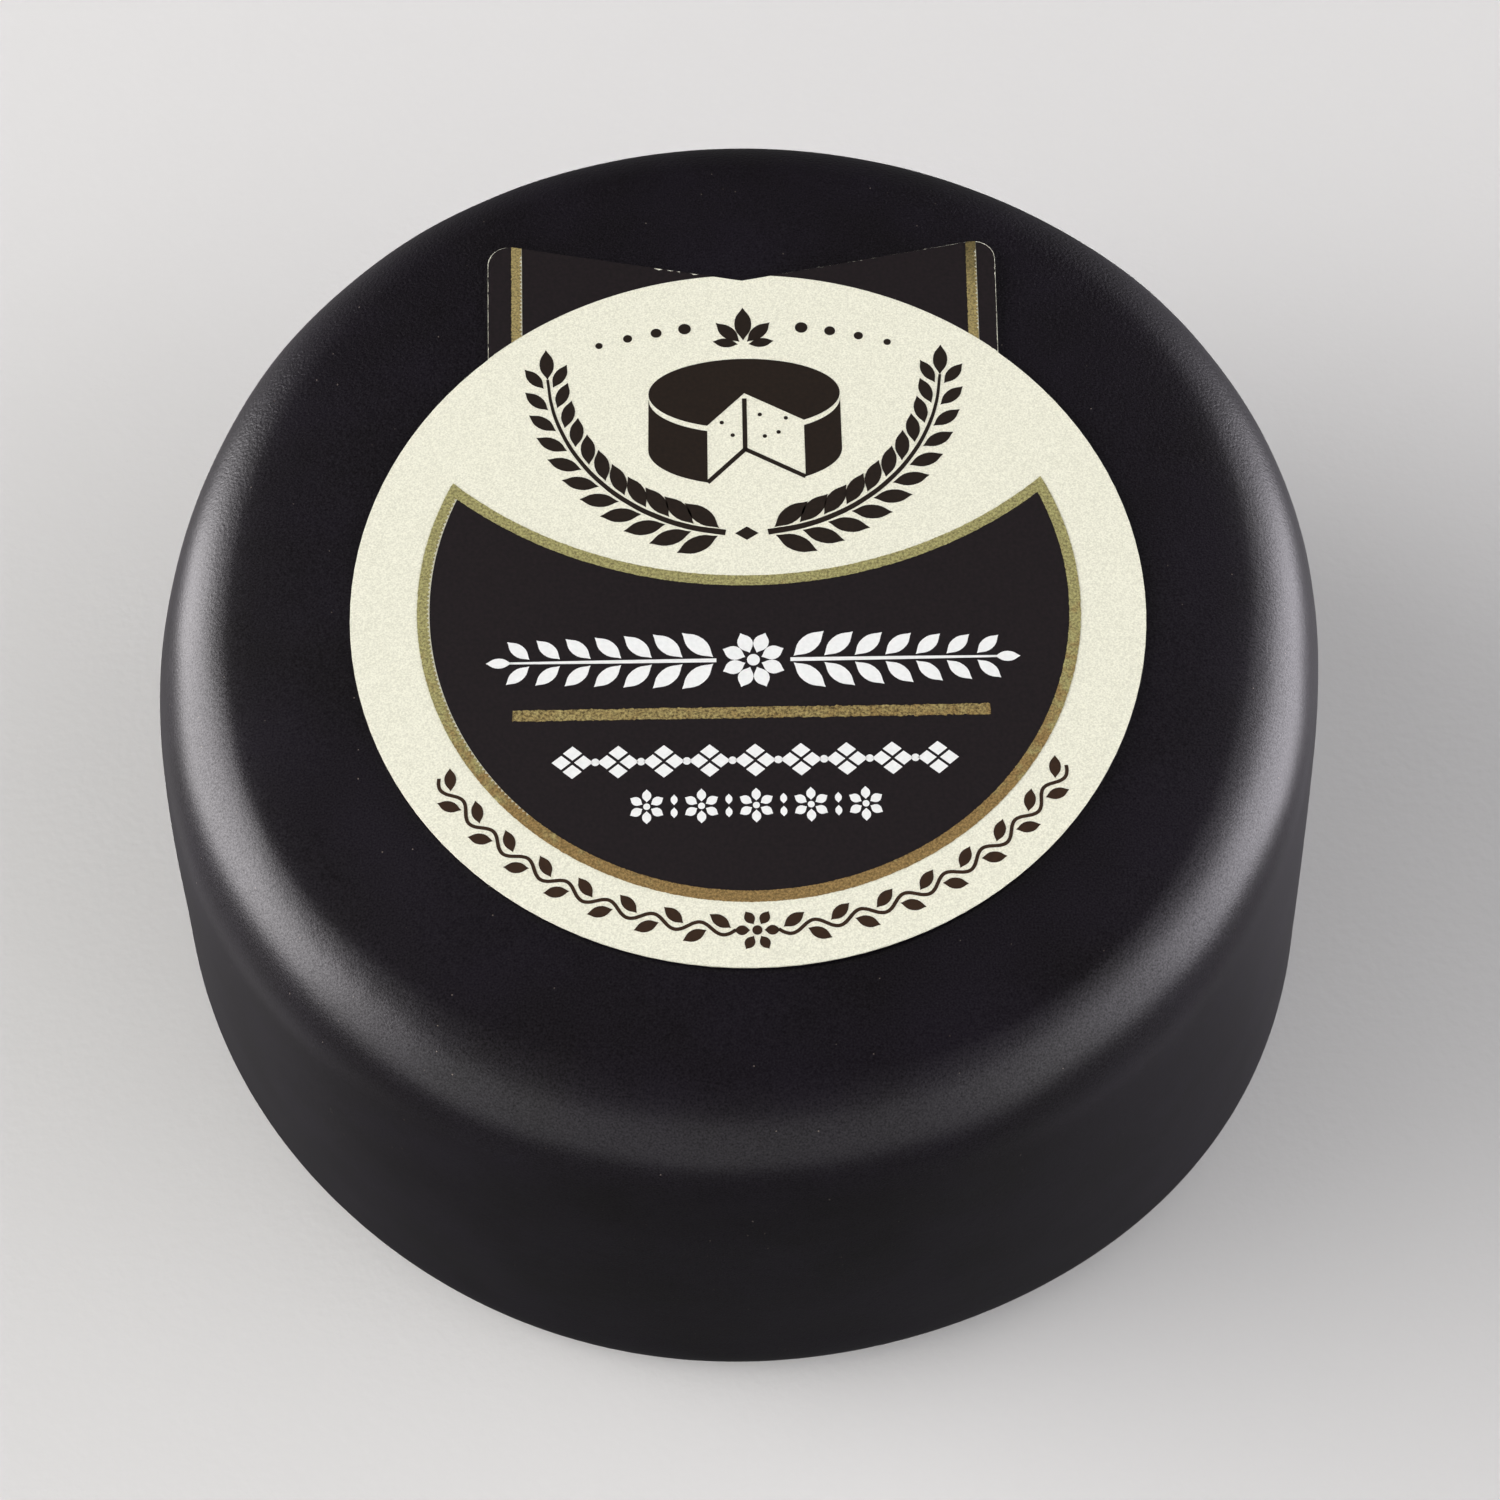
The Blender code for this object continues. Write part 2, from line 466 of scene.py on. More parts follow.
above_foot = wax.vertex_groups.new(name="above_foot")
for vertex in wax.data.vertices:
    share = min(max((vertex.co.z / MM - STILL_FOOT) / STILL_FOOT, 0.0), 1.0)
    above_foot.add([vertex.index], share, "REPLACE")
waves_texture = bpy.data.textures.new("wax_waves", "CLOUDS")
waves_texture.noise_scale = WAVE_LENGTH * MM
waves_texture.noise_depth = 1
modify(wax, "DISPLACE", texture=waves_texture, texture_coords="LOCAL", mid_level=1.0,
       strength=WAVE_DEPTH * MM, vertex_group="above_foot")
bpy.ops.object.shade_smooth()
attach(wax, "root")
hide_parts("waxed_cheese")
print("wax faces:", len(wax.data.polygons))

# %% [markdown]
# ## Black cheese wax
#
# Cheese wax is a soft blend of paraffin and microcrystalline wax, here coloured black with a
# trace of violet. It was dipped and left to set, so it has a satin gloss with a very fine
# pebbled skin. To the eye it is nearly black where nothing bright faces it, and a soft grey
# band with a grainy edge where a light does. Wax has an IOR of about 1.44.
#
# The pebbles are finer in life than a pixel of the picture. They are drawn at about a tenth of
# a millimetre, so that they show, and they change the gloss as well as the height: a bloom on
# the skin dulls it from pebble to pebble. Towards the back the coat set rougher, with shallow
# dimples under the pebbles. A few grains of pale dust cling to it.

# %% Wax material
PEBBLE_SIZE = 0.12
PEBBLE_DEPTH = 0.012
PEBBLE_SHADE = 0.6
SHADE_RANGE = (0.55, 1.0)
ROUGHNESS_RANGE = (0.26, 0.36)
SHEEN_RANGE = (0.1, 0.9)
DIMPLE_SIZE = 0.22
DIMPLE_DEPTH = 0.055
DIMPLE_POWER = 2.0
SMOOTH_FRONT = -25.0
ROUGH_BACK = 25.0
RIPPLE_SIZE = 1.6
RIPPLE_DEPTH = 0.02
CLOUD_SIZE = 7.0
SPECK_SPACING = 1.25
SPECK_RADIUS = 0.05
SPECK_CORE = 0.6

black_wax, tree, shader, place = new_material("black_cheese_wax")
pebble = noise(tree, place, PEBBLE_SIZE, detail=1.0)
cloud = noise(tree, place, CLOUD_SIZE, detail=3.0)
shade = maths(tree, "MULTIPLY_ADD", pebble, PEBBLE_SHADE, cloud)
tint = ramp(tree, shade, "090609", "110D14", *SHADE_RANGE)
specks = add_node(tree, "TexVoronoi", {"Vector": place, "Scale": 1 / (SPECK_SPACING * MM)})
speck_edge = SPECK_RADIUS / SPECK_SPACING
dust = remap(tree, specks.outputs["Distance"], SPECK_CORE * speck_edge, speck_edge, 1.0, 0.0)
dusted = add_node(tree, "MixRGB", {"Fac": dust, "Color1": tint, "Color2": linear("746B63")})

ripple = noise(tree, place, RIPPLE_SIZE, detail=2.0)
soft = bump(tree, ripple, RIPPLE_DEPTH * MM, strength=0.6)
spot = add_node(tree, "SeparateXYZ", {"Vector": place})
behind = remap(tree, spot.outputs["Y"], SMOOTH_FRONT * MM, ROUGH_BACK * MM)
far_behind = maths(tree, "POWER", behind, DIMPLE_POWER)
depth = maths(tree, "MULTIPLY", far_behind, DIMPLE_DEPTH * MM)
dimple = noise(tree, place, DIMPLE_SIZE, detail=2.0)
dented = bump(tree, dimple, depth, under=soft)
set_inputs(tree, shader, {"Base Color": dusted.outputs["Color"], "IOR": 1.44,
                          "Roughness": remap(tree, pebble, 0.0, 1.0, *ROUGHNESS_RANGE),
                          "Specular IOR Level": remap(tree, pebble, 0.0, 1.0, *SHEEN_RANGE),
                          "Normal": bump(tree, pebble, PEBBLE_DEPTH * MM, strength=0.7, under=dented)})
wax.data.materials.append(black_wax)

# %% [markdown]
# ## The paper
#
# The label is one die-cut piece of cream paper: a disc, with a tab behind it that ends in two
# ears with a notch between them. Its outline is already right in the plain model, so a copy of
# that is merged and thinned to a real paper's thickness. What is printed on it lies on top as
# thin films, one step higher for each ink that was printed over another. There is room for
# three.

# %% Paper label
INK_STEP = 0.015
INK_LAYERS = 3
PAPER_THICKNESS = 0.13
LABEL_TURN = 0.9

label_turn = Matrix.Rotation(math.radians(LABEL_TURN), 4, "Z")
paper = merged_copy("label", "label_paper")
edit_some(paper, "FACE", looks_up)
bpy.ops.mesh.dissolve_faces()
bpy.ops.transform.translate(value=(0, 0, -INK_LAYERS * INK_STEP * MM))
edit_some(paper, "FACE", looks_down)
bpy.ops.mesh.dissolve_faces()
paper_top = label_high.z - INK_LAYERS * INK_STEP * MM
bpy.ops.transform.translate(value=(0, 0, paper_top - PAPER_THICKNESS * MM - label_low.z))
object_mode()
bpy.ops.object.shade_flat()
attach(paper, "root")
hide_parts("label")
print("paper faces:", len(paper.data.polygons), "top, mm:", round(paper_top / MM, 3))

# %% [markdown]
# ## Drawing for print
#
# Every print is first drawn flat round the origin, as if the label lay there square, and only
# then moved onto the paper and turned with it. These helpers cut a drawing out of a thick
# slab, take its upper face as a sheet, and lay a finished sheet on the label as a film of ink.

# %% Helpers for print
SLAB = 2.0
SHEET_MERGE = 0.02


def at(x, y):
    """A place in the drawing, given in millimetres, as a location."""
    return x * MM, y * MM, 0.0


def drum(radius, steps, centre=(0.0, 0.0), height=SLAB):
    """A round slab in millimetres, to be cut or to cut with."""
    take()
    bpy.ops.mesh.primitive_cylinder_add(vertices=steps, radius=radius * MM, depth=height * MM,
                                        location=at(*centre))
    return bpy.context.object


def cut(slab, cutter, operation="DIFFERENCE"):
    """Cut one solid with another, and throw the cutter away."""
    modify(slab, "BOOLEAN", operation=operation, object=cutter)
    bpy.data.objects.remove(cutter)


def flatten():
    """Press what is selected flat at height zero, and go back to object mode."""
    bpy.ops.transform.resize(value=(1, 1, 0), center_override=(0, 0, 0))
    object_mode()


def top_sheet(slab):
    """The upper face of a slab as a flat sheet at height zero. The rest is thrown away."""
    edit_some(slab, "FACE", looks_up)
    bpy.ops.mesh.separate(type="SELECTED")
    object_mode()
    sheet = next(thing for thing in bpy.context.selected_objects if thing is not slab)
    bpy.data.objects.remove(slab)
    edit_all(sheet)
    bpy.ops.mesh.remove_doubles(threshold=SHEET_MERGE * MM)
    flatten()
    return sheet


def copy_of(piece):
    """A second object with its own mesh."""
    double = new_object(piece.name, piece.data.copy())
    double.matrix_world = piece.matrix_world.copy()
    return double


def draw_in(sheet, margin):
    """Make a sheet smaller all round by an even margin."""
    edit_all(sheet)
    bpy.ops.mesh.inset(thickness=margin * MM)
    bpy.ops.mesh.select_all(action="INVERT")
    bpy.ops.mesh.delete(type="FACE")
    object_mode()


def slab_from(sheet, height=SLAB):
    """Thicken a flat sheet to both sides, into a slab or a film."""
    modify(sheet, "SOLIDIFY", thickness=height * MM, offset=0.0)
    return sheet


def edit_points(sheet, wanted):
    """Open a sheet in edit mode with only the points at wanted places selected."""
    edit_some(sheet, "VERT", lambda vertex: wanted(vertex.co))


def anywhere(point):
    """Any point is wanted."""
    return True


def roughen(sheet, amount, seed, wanted=anywhere):
    """Make the edges of a sheet uneven, as where ink spreads, all along or at the wanted points."""
    edit_points(sheet, wanted)
    bpy.ops.transform.vertex_random(offset=amount * MM, uniform=0, normal=0, seed=seed,
                                    wait_for_input=False)
    bpy.ops.mesh.select_all(action="SELECT")
    flatten()


def lay_print(sheets, name, layer, ink):
    """Join flat sheets, give them the thickness of ink and lay them on the label."""
    take(*sheets)
    if len(sheets) > 1:
        bpy.ops.object.join()
    film = bpy.context.object
    film.name = name
    film.data.materials.clear()
    film.data.materials.append(ink)
    settle()
    edit_all(film)
    flatten()
    slab_from(film, INK_STEP)
    edit_all(film)
    bpy.ops.mesh.normals_make_consistent(inside=False)
    object_mode()
    height = paper_top + (layer - 0.5) * INK_STEP * MM
    spot = Matrix.Translation((disc_centre.x, disc_centre.y, height))
    film.matrix_world = spot @ label_turn
    settle()
    bpy.ops.object.shade_flat()
    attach(film, "root")
    print(name, "faces:", len(film.data.polygons))


# %% [markdown]
# ## Label paper and inks
#
# The paper is an uncoated cream label stock, so it is matt with a fine fleck. The flat inks on
# it are nearly matt too, and a little uneven where the fibres take them up: a black for the
# field and the ears, a warmer black for the emblem, a dark brown for the vine, and an opaque
# white that looks cool beside the cream. Bare print shines less than varnish does, so its
# mirror reflection is turned down.
#
# The gold is a metal ink, made of bronze flakes in a clear varnish. Only part of the light is
# mirrored, and the flakes show as a grain. On the disc it goes from olive at the back to brown
# at its front, in patches, and the rule does the same: this turn is a painted reflection, of
# the metal mirroring the studio differently in front and behind. On the ears it is a browner
# mix, which darkens towards the far corner of the right ear. Over black, as in the rule, its
# flakes stand out more. Flecks and flakes are drawn coarser than in life, so that they show.

# %% Paper material
PRINT_SHEEN = 0.3
NOISE_RANGE = (0.3, 0.7)
FIBRE_SIZE = 0.18
FIBRE_DEPTH = 0.01
FLECK_SIZE = 0.1

cream_paper, tree, shader, place = new_material("uncoated_cream_label_paper")
fleck = noise(tree, place, FLECK_SIZE, detail=1.0)
fibre = noise(tree, place, FIBRE_SIZE, detail=2.0)
set_inputs(tree, shader, {"Base Color": ramp(tree, fleck, "C9CAB5", "E2E3CE", *NOISE_RANGE),
                          "Roughness": 0.9, "Specular IOR Level": PRINT_SHEEN,
                          "Normal": bump(tree, fibre, FIBRE_DEPTH * MM, strength=0.4)})
paper.data.materials.append(cream_paper)

# %% Black, brown and white inks
INK_GRAIN = 0.25


def flat_ink(name, dark, light, roughness):
    """A plain printing ink, which lies a little thicker and thinner on the paper's fibres."""
    material, tree, shader, place = new_material(name)
    mottle = noise(tree, place, INK_GRAIN, detail=2.0)
    set_inputs(tree, shader, {"Base Color": ramp(tree, mottle, dark, light, *NOISE_RANGE),
                              "Roughness": roughness, "Specular IOR Level": PRINT_SHEEN})
    return material


black_ink = flat_ink("offset_black_ink", "110D0E", "1B1516", 0.45)
warm_black_ink = flat_ink("offset_warm_black_ink", "19120C", "211911", 0.45)
brown_ink = flat_ink("offset_dark_brown_ink", "291B0F", "332213", 0.45)
white_ink = flat_ink("opaque_white_ink", "D8DBD6", "E0E3DE", 0.6)

# %% Gold ink
FLAKE_RANGE = (0.36, 0.64)
FLAKE_DEPTH = 0.02
PATCH_SIZE = 0.8
# Where the disc's painted reflection turns from brown in front to olive behind.
DISC_REFLECTION_TURN = (-17.0, -4.0)
DISC_REFLECTION_SLANT = -0.13
EAR_TURN = (36.5, 43.5)
EAR_SLANT = 1.0


def metal_ink(name, flake_size, patch_reach, places, slant, front, back):
    """A bronze ink that turns from a front mix to a back mix, each with a dark and a bright flake.

    The turn lies between two places on the Y axis. It is slanted, as X times the slant is added
    to Y, and patches shift it by up to half their reach. On the disc and the rule the turn is a
    painted reflection. On the ears it darkens the far corner of the right ear.
    """
    material, tree, shader, place = new_material(name)
    flakes = noise(tree, place, flake_size, detail=3.0, roughness=0.7)
    patches = noise(tree, place, PATCH_SIZE, detail=2.0)
    spot = add_node(tree, "SeparateXYZ", {"Vector": place})
    slanted = maths(tree, "MULTIPLY_ADD", spot.outputs["X"], slant, spot.outputs["Y"])
    patched = maths(tree, "MULTIPLY_ADD", patches, patch_reach * MM, slanted)
    turn_start, turn_end = ((y + patch_reach / 2) * MM for y in places)
    turn = remap(tree, patched, turn_start, turn_end, interpolation_type="SMOOTHSTEP")
    bronze = add_node(tree, "MixRGB", {"Fac": turn,
                                       "Color1": ramp(tree, flakes, *front, *FLAKE_RANGE),
                                       "Color2": ramp(tree, flakes, *back, *FLAKE_RANGE)})
    set_inputs(tree, shader, {"Base Color": bronze.outputs["Color"], "Metallic": 0.35, "Roughness": 0.45,
                              "Normal": bump(tree, flakes, FLAKE_DEPTH * MM, strength=0.6)})
    return material


# On the disc and the rule the turn from brown to olive is a painted reflection in the metal ink.
gold_ink = metal_ink("bronze_metal_ink", 0.16, 34.0, DISC_REFLECTION_TURN, DISC_REFLECTION_SLANT,
                     ("6C5831", "A88C56"), ("777148", "BDB97A"))
ear_ink = metal_ink("bronze_metal_ink_on_ears", 0.16, 4.0, EAR_TURN, EAR_SLANT,
                    ("706640", "BAA96D"), ("423B21", "72653C"))
rule_ink = metal_ink("bronze_metal_ink_on_black", 0.18, 14.0, DISC_REFLECTION_TURN, DISC_REFLECTION_SLANT,
                     ("4C3A21", "A68B51"), ("574927", "BFB275"))

# %% [markdown]
# ## The black field and its gold border
#
# The lower part of the disc holds a black field, a disc with a wide bite out of its top. A gold
# line of even width runs all the way round it. Both come from one slab, a drum bitten by a
# larger drum, made at three margins: one for the outer edge of the gold, one for its inner
# edge, and one between them for the black, which runs a little way under the gold.
#
# The black was printed a hair too far to the right, so on the left it falls short of the gold.
# The printing screen left small notches in the gold's edge there, in which bare paper glints.

# %% Black field and gold border
FIELD_RADIUS = 20.85
FIELD_PLACE = (0.05, -0.03)
BITE_RADIUS = 28.7
BITE_CENTRE = (0.085, 30.19)
GOLD_WIDTH = 0.72
GOLD_OVERLAP = 0.12
GOLD_UNEVENNESS = 0.03
NOTCH_DEPTH = 0.13
NOTCH_PERIOD = 3
NOTCHED_PART = -13.5
ON_THE_ARC = 0.01
FIELD_STEPS = 1200
BITE_STEPS = 1400
BLACK_SHIFT = 0.18


def field_slab(margin, height=SLAB):
    """The bitten disc as a slab, smaller all round than the outer edge of the gold by a margin."""
    slab = drum(FIELD_RADIUS - margin, FIELD_STEPS, height=height)
    cut(slab, drum(BITE_RADIUS + margin, BITE_STEPS, BITE_CENTRE, height=2 * height))
    return slab


def is_notch(point):
    """Whether a point of the gold border is a notch, every third on the left of its inner arc."""
    off_arc = math.hypot(point.x, point.y) / MM - (FIELD_RADIUS - GOLD_WIDTH)
    count = round(math.degrees(math.atan2(point.y, point.x)) * FIELD_STEPS / 360)
    on_left = point.x < NOTCHED_PART * MM
    return abs(off_arc) < ON_THE_ARC and on_left and count % NOTCH_PERIOD == 0


black_sheet = top_sheet(field_slab(GOLD_WIDTH - GOLD_OVERLAP))
black_sheet.location = at(FIELD_PLACE[0] + BLACK_SHIFT, FIELD_PLACE[1])
gold_slab = field_slab(0.0)
cut(gold_slab, field_slab(GOLD_WIDTH, height=2 * SLAB))
gold_sheet = top_sheet(gold_slab)
edit_points(gold_sheet, is_notch)
print("notches:", sum(vertex.select for vertex in gold_sheet.data.vertices))
drawn_out = 1 + NOTCH_DEPTH / FIELD_RADIUS
bpy.ops.transform.resize(value=(drawn_out, drawn_out, 1), center_override=(0, 0, 0))
object_mode()
roughen(gold_sheet, GOLD_UNEVENNESS, seed=4)
gold_sheet.location = at(*FIELD_PLACE)
lay_print([black_sheet], "black_field", 1, black_ink)
lay_print([gold_sheet], "gold_border", 2, gold_ink)

# %% [markdown]
# ## The two ears
#
# The tab behind the disc is printed black right out to its edge. The die cut it a hair outside
# the black, so a thin line of bare paper shows all along the cut. The notch parts the black
# into two ears. They are cut from the paper's own outline, drawn in by that hair, with a drum
# as wide as the disc taken out of it. A gold line stands on each ear, in a gap that was left for
# it in the black. Gold and gap both sit a little too far to the right, the gap a hair more, and
# bare paper glints in the notches of the gold's right edge.
#
# The black was also printed a hair too high. So the bare line is whole on the outer sides and
# round the corners, and is only a row of small nicks along the notch.

# %% Ears
BARE_EDGE = 0.033
TAB_MISPLACED = (-0.0235, 0.03)
TAB_MISTURNED = -0.05
LINE_GAP = 0.04
DISC_CLEARANCE = 0.05
EAR_LINE_WIDTH = 0.68
EAR_LINE_LENGTH = 12.0
EAR_LINE_PLACE = (15.36, 23.6)
EAR_LINE_SHIFT = 0.15
EAR_LINE_LEAN = 1.8
EAR_LINE_STEPS = 114
EAR_LINE_NOTCHES = 0.13
EAR_LINE_UNEVENNESS = 0.05
EVEN_ENDS = 3.4

outline = copy_of(paper)
outline.matrix_world = (Matrix.Translation((disc_centre.x, disc_centre.y, 0)) @ label_turn).inverted()
take(outline)
settle()
black_tab = top_sheet(outline)
draw_in(black_tab, BARE_EDGE)
black_tab.location = at(*TAB_MISPLACED)
black_tab.rotation_euler.z = math.radians(TAB_MISTURNED)
take(black_tab)
settle()
ears = slab_from(black_tab)
cut(ears, drum(DISC_RADIUS + DISC_CLEARANCE, FIELD_STEPS, height=2 * SLAB))


def clear_of_ends(point):
    """Whether a point of an ear line is clear of its two ends, where moved points could cross."""
    return abs(point.y) < EVEN_ENDS * MM


def is_line_notch(point):
    """Whether a point of an ear line is a notch, every third one on its right edge."""
    count = round(point.y / MM * EAR_LINE_STEPS / EAR_LINE_LENGTH)
    return clear_of_ends(point) and point.x > 0 and count % NOTCH_PERIOD == 0


def ear_line(side, steps, height, move=0.0):
    """The slab of an ear's gold line, or of the gap in the black that it stands in."""
    take()
    bpy.ops.mesh.primitive_grid_add(x_subdivisions=1, y_subdivisions=steps, size=MM)
    line = bpy.context.object
    line.scale = (EAR_LINE_WIDTH, EAR_LINE_LENGTH, 1)
    bpy.ops.object.transform_apply(location=False, rotation=False, scale=True)
    x = side * EAR_LINE_PLACE[0] + EAR_LINE_SHIFT + move
    line.location = at(x, EAR_LINE_PLACE[1])
    line.rotation_euler.z = math.radians(-side * EAR_LINE_LEAN)
    return slab_from(line, height)


ear_lines = []
for side in (-1, 1):
    line = ear_line(side, EAR_LINE_STEPS, height=SLAB / 2)
    cut(line, copy_of(ears), "INTERSECT")
    line = top_sheet(line)
    edit_points(line, is_line_notch)
    bpy.ops.transform.translate(value=(-EAR_LINE_NOTCHES * MM, 0, 0))
    object_mode()
    roughen(line, EAR_LINE_UNEVENNESS, seed=11 + side, wanted=clear_of_ends)
    ear_lines.append(line)
for side in (-1, 1):
    cut(ears, ear_line(side, steps=1, height=2 * SLAB, move=LINE_GAP))
ears = top_sheet(ears)

# %% [markdown]
# The cut edges of the ears are straight, with points at their ends alone. They are divided, and
# their new points moved at random: a little along the outer sides and the notch, and more in
# the part of the notch where the black is chipped, which also lies a little lower. At the round
# corners the black is pulled in by a hair, so that the bare line is a little wider there.

# %% Nicks along the cut
LONG_EDGE = 1.0
CUT_STEPS = 60
NOTCH_Y = 24.6
NOTCH_SLOPE = 0.196
NOTCH_BAND = 0.2
TAB_SIDE = 16.5
SIDE_NICKS = 0.033
NOTCH_NICKS = 0.02
CHIPS = 0.13
CHIPS_DROP = 0.02
CHIPPED_PART = (-6.2, -2.8)
CORNER = (15.9, 26.4)
CORNER_PULL = 0.001


def along_side(point):
    """Whether a point lies on one of the tab's outer sides."""
    return abs(point.x) > TAB_SIDE * MM


def along_notch(point):
    """Whether a point lies on the notch's two edges, clear of the disc and of the corners."""
    above_notch = point.y / MM - NOTCH_Y - abs(point.x / MM) * NOTCH_SLOPE
    return abs(above_notch) < NOTCH_BAND and abs(point.x) < EAR_LINE_PLACE[0] * MM


def chipped(point):
    """Whether a point of the notch lies in its chipped part, clear of the ear's thin tip."""
    return along_notch(point) and CHIPPED_PART[0] < point.x / MM < CHIPPED_PART[1]


def at_corner(point):
    """Whether a point lies on the round outer corner of an ear."""
    return abs(point.x) > CORNER[0] * MM and point.y > CORNER[1] * MM


def long_on_cut(edge):
    """Whether an edge of the ears is one of the long straight ones of the cut."""
    start, end = (ears.data.vertices[corner].co for corner in edge.vertices)
    middle = (start + end) / 2
    on_cut = along_side(middle) or along_notch(middle)
    return on_cut and (end - start).length > LONG_EDGE * MM


edit_some(ears, "EDGE", long_on_cut)
bpy.ops.mesh.subdivide(number_cuts=CUT_STEPS)
object_mode()
edit_points(ears, at_corner)
bpy.ops.transform.resize(value=(1 - CORNER_PULL, 1 - CORNER_PULL, 1), center_override=(0, 0, 0))
object_mode()
roughen(ears, SIDE_NICKS, seed=30, wanted=along_side)
roughen(ears, NOTCH_NICKS, seed=31, wanted=along_notch)
edit_points(ears, chipped)
bpy.ops.transform.translate(value=(0, -CHIPS_DROP * MM, 0))
object_mode()
roughen(ears, CHIPS, seed=32, wanted=chipped)
lay_print([ears], "black_ears", 1, black_ink)
lay_print(ear_lines, "gold_ear_lines", 2, ear_ink)

# %% [markdown]
# ## The gold rule
#
# A short gold rule crosses the black field. It starts as a grid that is many cells long and
# one cell wide, so that its two long edges have points enough to be made uneven.

# %% Rule
RULE_LENGTH = 29.35
RULE_WIDTH = 0.75
RULE_PLACE = (0.1, -8.3)
RULE_STEPS = 220
RULE_UNEVENNESS = 0.08

take()
bpy.ops.mesh.primitive_grid_add(x_subdivisions=RULE_STEPS, y_subdivisions=1, size=MM)
rule = bpy.context.object
rule.scale = (RULE_LENGTH, RULE_WIDTH, 1)
rule.location = at(*RULE_PLACE)
settle()
roughen(rule, RULE_UNEVENNESS, seed=21)
lay_print([rule], "gold_rule", 2, rule_ink)

# %% [markdown]
# ## Shapes to stamp
#
# Plain printed ornament is built from a few small shapes, as with a set of rubber stamps. A
# leaf is a Bezier circle with its two ends made sharp. A lozenge is a circle of four points,
# and a dot one of twenty. Each shape is modelled once, one millimetre long, and every copy
# gets its own mesh, size and direction.

# %% Stamps
DOT_CORNERS = 20
LEAF_CURVE_STEPS = 5
LEAF_END_BAND = 0.1
STROKE_CURVE_STEPS = 6


def finished_stamp(stamp):
    """Keep a stamp's shape but hide it away, so that only its copies are printed."""
    settle()
    bpy.context.scene.collection.objects.unlink(stamp)
    return stamp


def leaf_stamp():
    """A pointed leaf from its stalk at the origin to its tip on the X axis."""
    take()
    bpy.ops.curve.primitive_bezier_circle_add(radius=0.5 * MM, location=(0.5 * MM, 0, 0))
    leaf = bpy.context.object
    leaf.data.dimensions = "2D"
    leaf.data.fill_mode = "BOTH"
    leaf.data.resolution_u = LEAF_CURVE_STEPS
    for point in leaf.data.splines[0].bezier_points:
        if abs(point.co.y) < LEAF_END_BAND * MM:
            point.handle_left_type = "VECTOR"
            point.handle_right_type = "VECTOR"
    bpy.ops.object.convert(target="MESH")
    settle()
    return finished_stamp(leaf)


def circle_stamp(corners):
    """A filled circle of a few or many corners, one millimetre across."""
    take()
    bpy.ops.mesh.primitive_circle_add(vertices=corners, radius=0.5 * MM, fill_type="NGON")
    return finished_stamp(bpy.context.object)


leaf = leaf_stamp()
lozenge = circle_stamp(4)
dot = circle_stamp(DOT_CORNERS)


def stamped(stamp, x, y, turn=0.0, length=1.0, width=None):
    """One copy of a stamp, with its place and size in millimetres and its turn in degrees."""
    copy = new_object(stamp.name, stamp.data.copy())
    size = Matrix.Diagonal((length, length if width is None else width, 1.0, 1.0))
    spin = Matrix.Rotation(math.radians(turn), 4, "Z")
    copy.matrix_world = Matrix.Translation(at(x, y)) @ spin @ size
    return copy


def around(centre, radius, angle):
    """The point at a distance and an angle in degrees from a centre."""
    return (centre[0] + radius * math.cos(math.radians(angle)),
            centre[1] + radius * math.sin(math.radians(angle)))


def flower(middle, heart, petals, first_turn, reach, petal_size):
    """A dot with a ring of petals, each of them from a distance on outwards."""
    shapes = [stamped(dot, *middle, length=heart)]
    for petal in range(petals):
        turn = first_turn + 360 / petals * petal
        shapes.append(stamped(leaf, *around(middle, reach, turn), turn, *petal_size))
    return shapes


def pen_stroke(points, widths):
    """A flat stroke through points, with its width at each of them, all in millimetres.

    An extruded curve stands up like a fence. Tilted by a quarter turn, the fence lies flat.
    """
    take()
    curve = bpy.data.curves.new("stroke", "CURVE")
    curve.dimensions = "3D"
    curve.twist_mode = "Z_UP"
    curve.resolution_u = STROKE_CURVE_STEPS
    curve.extrude = 0.5 * MM
    spline = curve.splines.new("BEZIER")
    spline.bezier_points.add(len(points) - 1)
    for point, place, width in zip(spline.bezier_points, points, widths):
        point.co = at(*place)
        point.handle_left_type = "AUTO"
        point.handle_right_type = "AUTO"
        point.tilt = math.pi / 2
        point.radius = width
    take(new_object("stroke", curve))
    bpy.ops.object.convert(target="MESH")
    return bpy.context.object


def filled(points):
    """A flat sheet inside an outline of points in millimetres."""
    take()
    curve = bpy.data.curves.new("filled", "CURVE")
    curve.dimensions = "2D"
    curve.fill_mode = "BOTH"
    spline = curve.splines.new("POLY")
    spline.points.add(len(points) - 1)
    for point, place in zip(spline.points, points):
        point.co = (*at(*place), 1.0)
    spline.use_cyclic_u = True
    take(new_object("filled", curve))
    bpy.ops.object.convert(target="MESH")
    return bpy.context.object


# %% [markdown]
# ## White rows on the black field
#
# Three rows of plain white ornament fill the black field: a tall garland over the gold rule,
# and under it a row of lozenges and a short row of flowers. The garland grows from a rosette
# in the middle, with pairs of leaves on a thin stem that get a little smaller outwards.

# %% Garland
GARLAND_PLACE = (0.25, -4.62)
STEM_POINTS = (2.3, 9.0, 15.1)
STEM_WIDTHS = (0.26, 0.22, 0.14)
TIP_START = 15.0
LEAF_PAIRS = 7
LEAF_START = 2.5
LEAF_SPACING = 1.9
LEAF_OFF_STEM = 0.24
LEAF_RISE = 42.0
LEAF_SHRINK = 0.045
LEAF_SIZE = (2.6, 1.1)
TIP_SIZE = (1.6, 0.7)

